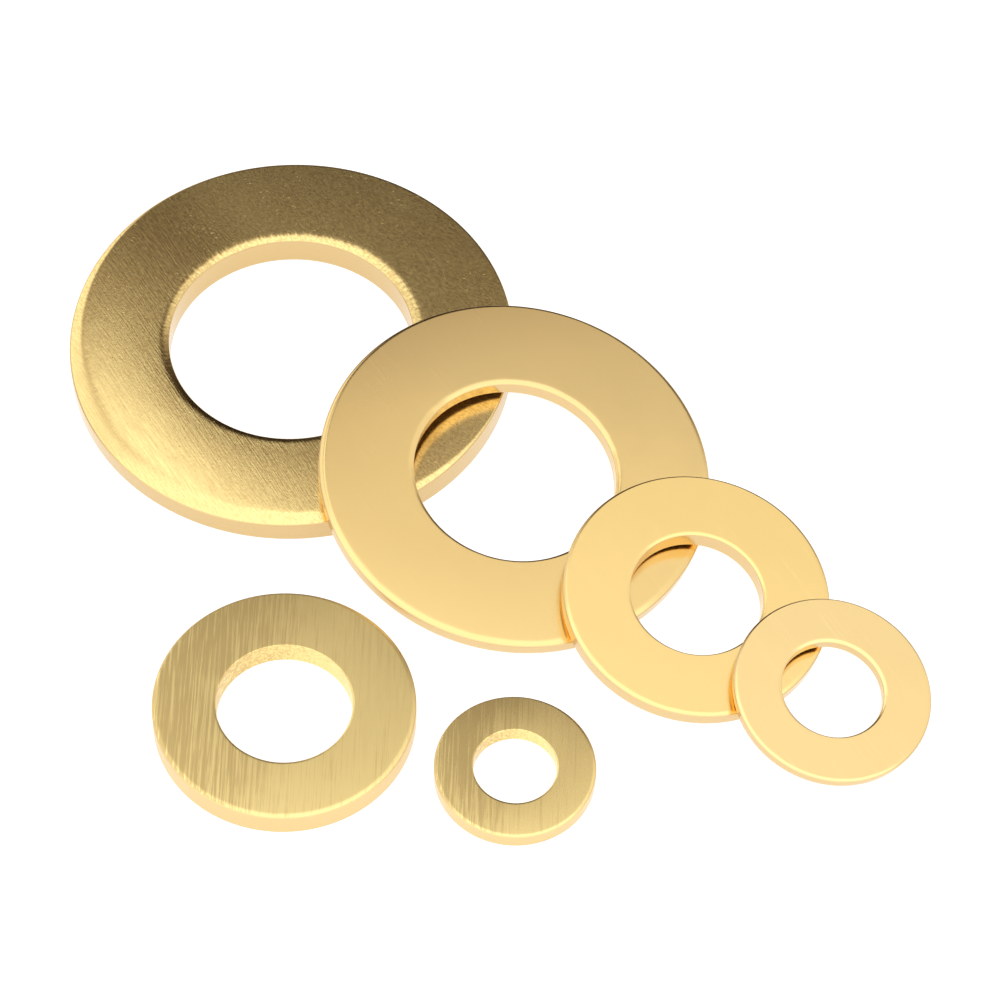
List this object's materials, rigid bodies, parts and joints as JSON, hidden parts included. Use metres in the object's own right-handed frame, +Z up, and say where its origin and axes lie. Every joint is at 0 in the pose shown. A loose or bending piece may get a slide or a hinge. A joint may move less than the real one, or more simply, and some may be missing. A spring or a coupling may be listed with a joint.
{
  "type": "flat washer",
  "caption": "Loose set of brass flat washers: graded rings that overlap in a leaning row, with thicker rings lying flat in front of them.",
  "frame": {"origin": "middle of the set's bounding box, on the surface that the washers lie on", "axes": "+Z up, out of that surface; +X along the set's longest side, from the largest washer towards the small end of the row; +Y from the two single washers towards the row"},
  "size_m": [0.071, 0.0648, 0.006],
  "materials": {
    "sanded_brass": "sanded and lightly brushed, soft rolled edges",
    "polished_brass": "satin polished",
    "brushed_brass": "straight brushed grain"
  },
  "bodies": {
    "m20": {"washer_m20": "sanded_brass"},
    "m16": {"washer_m16": "polished_brass"},
    "m10_thin": {"washer_m10_thin": "polished_brass"},
    "m8": {"washer_m8": "polished_brass"},
    "m10_thick": {"washer_m10_thick": "brushed_brass"},
    "m6": {"washer_m6": "brushed_brass"}
  },
  "joints": [
    {"name": "m16_lift", "type": "slide", "parent": "m20", "child": "m16", "axis": [0, 0, 1], "range_m": [0, 0.012]},
    {"name": "m10_thin_lift", "type": "slide", "parent": "m16", "child": "m10_thin", "axis": [0, 0, 1], "range_m": [0, 0.012]},
    {"name": "m8_lift", "type": "slide", "parent": "m10_thin", "child": "m8", "axis": [0, 0, 1], "range_m": [0, 0.012]},
    {"name": "m10_thick_lift", "type": "slide", "parent": "m20", "child": "m10_thick", "axis": [0, 0, 1], "range_m": [0, 0.012]},
    {"name": "m6_lift", "type": "slide", "parent": "m20", "child": "m6", "axis": [0, 0, 1], "range_m": [0, 0.012]}
  ]
}
